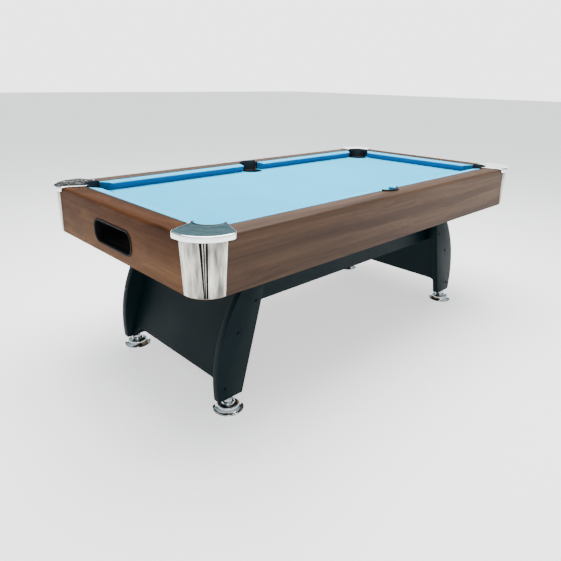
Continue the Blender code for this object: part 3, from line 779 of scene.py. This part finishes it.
def addCover(name, side, node):
    levels = cover["levels"]
    rows = []
    marks = []
    for level in levels:
        share = level / levels[-1]
        reach = cover["reachBottom"] + (cover["reachTop"] - cover["reachBottom"]) * share
        drawnIn = cover["drawnIn"] if level in (levels[0], levels[-1]) else 0.0
        proud = cover["proud"] - drawnIn
        outline = [(-0.0004, reach), (-proud * 0.6, reach), (-proud, reach - 0.0014)]
        outline.append((-proud, (reach + cornerRadius) / 2))
        columns = coverColumns(share)
        marks = [len(outline) + i for i, column in enumerate(columns) if column[2]]
        for away, rise, _ in columns:
            angle = math.radians(225.0) + away / cornerRadius
            radius = cornerRadius + proud + rise * (0.4 if drawnIn else 1.0)
            outline.append((cornerRadius + radius * math.cos(angle), cornerRadius + radius * math.sin(angle)))
        outline += [((reach + cornerRadius) / 2, -proud), (reach - 0.0014, -proud), (reach, -proud * 0.6)]
        outline.append((reach, -0.0004))
        outline += arc((cornerRadius, cornerRadius), cornerRadius + 0.0004, 270, 180, 40)
        rows.append([fromCorner(side, x, y, cover["bottom"] + level) for x, y in outline])
    shape = bmesh.new()
    verts = loftInto(shape, rows)
    starts = {ring[i] for ring in verts for i in marks}
    stops = {ring[i + 1] for ring in verts for i in marks}
    # The faces of the dark lines take the black trim, as painted reflection.
    for f in shape.faces:
        if len(f.verts) == 4 and len(starts.intersection(f.verts)) == len(stops.intersection(f.verts)) == 2:
            f.material_index = 1
    piece = makePiece(name, shape, coverChrome, [node], smooth=42)
    piece.data.materials.append(blackTrim)


for corner, side in corners.items():
    addCap(f"cap_{corner}", side, f"corner_cap_{corner}")
    addCover(f"cover_{corner}", side, f"corner_cover_{corner}")
print("chrome corners made")


# Ball return

window = {"length": 0.270, "height": 0.080, "centre": 0.668, "rounding": 0.030}
# The bezel's section: how far out from the hole's edge, and how far in from the apron's face.
window["bezel"] = [(0.0, 0.0212), (0.0025, 0.0212), (0.0025, -0.0004), (0.0084, -0.0004)]
window["bezel"] += [(0.0090, -0.0010), (0.0086, -0.0022), (0.0072, -0.0030), (0.0046, -0.0030)]
window["bezel"] += [(0.0034, -0.0024), (0.0018, -0.0026), (0.0006, -0.0018), (0.0, -0.0004)]


def windowOutline(offset, steps=12):
    half = (window["length"] / 2 - window["rounding"], window["height"] / 2 - window["rounding"])
    points = []
    for begin, y, z in ((0, 1, 1), (90, -1, 1), (180, -1, -1), (270, 1, -1)):
        middle = (y * half[0], window["centre"] + z * half[1])
        points += arc(middle, window["rounding"] + offset, begin, begin + 90, steps)
    return points


rows = []
for offset, depth in window["bezel"]:
    rows.append([Vector((depth - halfLength, y, z)) for y, z in windowOutline(offset)])
shape = bmesh.new()
loftInto(shape, rows, closed=True)
makePiece("window_bezel", shape, blackTrim, ["return_window_trim"], smooth=50)
for name in ("ball_tray", "ball_chute_near", "ball_chute_far", "ball_gully_near", "ball_gully_far"):
    softenNode(name, blackPlastic, 0)
print("ball return made")


# Under-frame

for name in ("bed_crossbar", "leg_beam_return", "leg_beam_head"):
    softenNode(name, board, 0)
for name in ("stretcher_near", "stretcher_far", "leg_end_panel_return", "leg_end_panel_head"):
    softenNode(name, charcoal, 0.0009)


leg = {"outside": 0.372, "thickness": 0.032, "bottom": 0.055, "top": 0.5847}
leg["arcRadius"] = 0.614
leg["arcCentre"] = (0.862 - 0.614, 0.120)
leg["inner"] = ((0.745, 0.055), (0.600, 0.5847))
leg["middle"] = (0.745, 0.30)
leg["edge"] = ((0.0012, 0.0), (0.0004, 0.0003), (0.0, 0.0011))  # how far in, and how deep, at each step
leg["bolts"] = ((0.668, 0.429), (0.758, 0.319), (0.826, 0.103))
leg["boltDome"] = [(0.0, 0.0), (0.0068, 0.0), (0.0068, 0.0009), (0.0058, 0.0021), (0.0036, 0.0028)]
leg["boltDome"].append((0.0, 0.0030))


def legOutline(way):
    centre, radius = leg["arcCentre"], leg["arcRadius"]
    rise = math.degrees(math.asin((leg["top"] - centre[1]) / radius))
    dip = math.degrees(math.asin((leg["bottom"] - centre[1]) / radius))
    outer = arc(centre, radius, dip, rise, 48)
    return [Vector((way * x, z)) for x, z in [leg["inner"][0], *outer, leg["inner"][1]]]


def drawnIn(outline, middle, inset):
    loop = []
    for i, here in enumerate(outline):
        before = (here - outline[i - 1]).normalized()
        after = (outline[(i + 1) % len(outline)] - here).normalized()
        normal = Vector((before.y + after.y, -(before.x + after.x))).normalized()
        if normal.dot(here - middle) < 0:
            normal = -normal
        loop.append(here - normal * inset)
    return loop


def addLegPanel(name, way, side, node):
    outline = legOutline(way)
    middle = Vector((way * leg["middle"][0], leg["middle"][1]))
    inside = leg["outside"] - leg["thickness"]
    stations = [(inset, inside + depth) for inset, depth in leg["edge"]]
    stations += [(inset, leg["outside"] - depth) for inset, depth in reversed(leg["edge"])]
    shape = bmesh.new()
    rows = []
    for inset, y in stations:
        rows.append([Vector((p.x, side * y, p.y)) for p in drawnIn(outline, middle, inset)])
    loftInto(shape, rows)
    makePiece(name, shape, charcoal, [node], smooth=30)


for corner, (way, side) in corners.items():
    addLegPanel(f"leg_side_{corner}", way, side, f"leg_panel_{corner}")
    shape = bmesh.new()
    for x, z in leg["bolts"]:
        base = (way * x, side * (leg["outside"] + 0.0002), z)
        turnInto(shape, leg["boltDome"], base, (0, side, 0), 28)
    makePiece(f"leg_bolt_caps_{corner}", shape, blackTrim, smooth=50)
print("under-frame made")


# Feet

foot = {"x": 0.804, "y": 0.356}
# Both profiles are radius and height, from the axis at the bottom to the axis at the top.
foot["pad"] = [(0.0, 0.0), (0.0560, 0.0), (0.0600, 0.0006), (0.0622, 0.0022), (0.0628, 0.0044)]
foot["pad"] += [(0.0620, 0.0066), (0.0600, 0.0082), (0.0570, 0.0094), (0.0535, 0.0110), (0.0500, 0.0134)]
foot["pad"] += [(0.0472, 0.0162), (0.0455, 0.0180), (0.0444, 0.0190), (0.0446, 0.0208), (0.0440, 0.0236)]
foot["pad"] += [(0.0424, 0.0256), (0.0400, 0.0270), (0.0374, 0.0276), (0.0366, 0.0280), (0.0350, 0.0282)]
foot["pad"] += [(0.0322, 0.0286), (0.0290, 0.0294), (0.0266, 0.0304), (0.0252, 0.0318), (0.0246, 0.0336)]
foot["pad"] += [(0.0236, 0.0352), (0.0222, 0.0360), (0.0076, 0.0360), (0.0066, 0.0352), (0.0066, 0.0140)]
foot["pad"].append((0.0, 0.0140))
foot["stem"] = [(0.0, 0.0143), (0.0058, 0.0143), (0.0061, 0.0160), (0.0061, 0.0365), (0.0150, 0.0366)]
foot["stem"] += [(0.0162, 0.0378), (0.0164, 0.0400), (0.0156, 0.0420), (0.0156, 0.0500), (0.0166, 0.0515)]
foot["stem"] += [(0.0166, 0.0540), (0.0160, 0.0547), (0.0050, 0.0547)]
foot["thread"] = {"start": 0.0552, "pitch": 0.0015, "turns": 28, "crest": 0.0050, "root": 0.0044}

thread = foot["thread"]
for i in range(thread["turns"]):
    height = thread["start"] + thread["pitch"] * i
    foot["stem"] += [(thread["crest"], height), (thread["root"], height + thread["pitch"] / 2)]
foot["stem"] += [(thread["crest"], 0.0980), (0.0035, 0.0998), (0.0, 0.0998)]
for corner, (way, side) in corners.items():
    centre = (way * foot["x"], side * foot["y"], 0.0)
    shape = bmesh.new()
    turnInto(shape, foot["pad"], centre, (0, 0, 1), 96)
    node, body = f"foot_pad_{corner}", f"pad_{corner}"
    makePiece(f"foot_disc_{corner}", shape, footChrome, [node], body, 35)
    shape = bmesh.new()
    turnInto(shape, foot["stem"], centre, (0, 0, 1), 48)
    node, body = f"foot_stem_{corner}", f"stem_{corner}"
    makePiece(f"foot_screw_{corner}", shape, zinc, [node], body, 35)
print("feet made")


# Floor, light and camera

stage = {"floorHalf": 40.0, "floorBelow": 0.0006, "floorGlow": 0.9, "skyStrength": 3.3}
# The sky's colour by the sine of its height over the horizon, which the chrome reflects.
stage["sky"] = [
    (0.000, (1.0, 1.0, 1.0)),
    (0.135, (1.0, 1.0, 1.0)),
    (0.165, (0.004, 0.005, 0.006)),
    (0.215, (0.004, 0.006, 0.007)),
    (0.300, (0.056, 0.100, 0.114)),
    (0.550, (0.140, 0.160, 0.170)),
    (1.000, (0.300, 0.305, 0.310)),
]
stage["camera"] = {"place": (-1.807, -1.678, 1.2082), "yaw": 0.8021, "pitch": 0.3823, "roll": 0.0173}
stage["camera"]["lens"] = 32.11123

shape = bmesh.new()
lower = Matrix.Translation((0.0, 0.0, -stage["floorBelow"]))
bmesh.ops.create_grid(shape, x_segments=1, y_segments=1, size=stage["floorHalf"], matrix=lower)
floorMesh = bpy.data.meshes.new("floor")
shape.to_mesh(floorMesh)
shape.free()
floor = bpy.data.objects.new("floor", floorMesh)
bpy.context.scene.collection.objects.link(floor)
floorMaterial, _, floorShader = newMaterial("pale_floor", (0.92, 0.92, 0.92), 0.85, specular=0.1)
floorShader.inputs["Emission Color"].default_value = (1.0, 1.0, 1.0, 1.0)
floorShader.inputs["Emission Strength"].default_value = stage["floorGlow"]
floorMesh.materials.append(floorMaterial)

world = bpy.data.worlds.new("studio")
bpy.context.scene.world = world
world.use_nodes = True
tree = world.node_tree
background = tree.nodes["Background"]
direction = addNode(tree, "ShaderNodeTexCoord").outputs["Generated"]
height = addNode(tree, "ShaderNodeSeparateXYZ", {"Vector": direction}).outputs["Z"]
sky = rampOf(tree, height, stage["sky"])
seen = addNode(tree, "ShaderNodeLightPath").outputs["Is Camera Ray"]
# The dark band is only there for the chrome to reflect, and the backdrop itself is plain white.
tree.links.new(mixOf(tree, seen, sky, (1.0, 1.0, 1.0)), background.inputs["Color"])
background.inputs["Strength"].default_value = stage["skyStrength"]


def areaLight(name, place, target, size, power):
    data = bpy.data.lights.new(name, "AREA")
    data.shape = "RECTANGLE"
    data.size, data.size_y = size
    data.energy = power
    light = bpy.data.objects.new(name, data)
    bpy.context.scene.collection.objects.link(light)
    light.location = place
    light.rotation_euler = (Vector(target) - Vector(place)).to_track_quat("-Z", "Y").to_euler()


areaLight("overhead", (0.2, 0.3, 3.6), (0.0, 0.0, 0.6), (3.4, 3.0), 380.0)
areaLight("front", (-2.6, -2.8, 2.2), (-0.4, -0.2, 0.4), (1.6, 1.6), 30.0)

view = stage["camera"]
yaw, pitch, roll = view["yaw"], view["pitch"], view["roll"]
forward = Vector((math.cos(pitch) * math.cos(yaw), math.cos(pitch) * math.sin(yaw), -math.sin(pitch)))
flat = forward.cross(Vector((0.0, 0.0, 1.0))).normalized()
lift = flat.cross(forward)
right = flat * math.cos(roll) + lift * math.sin(roll)
up = lift * math.cos(roll) - flat * math.sin(roll)
cameraData = bpy.data.cameras.new("camera")
cameraData.lens = view["lens"]
cameraData.clip_end = 200.0
camera = bpy.data.objects.new("camera", cameraData)
bpy.context.scene.collection.objects.link(camera)
turn = Matrix((right, up, -forward)).transposed().to_4x4()
camera.matrix_world = Matrix.Translation(view["place"]) @ turn
bpy.context.scene.camera = camera
print("stage made")
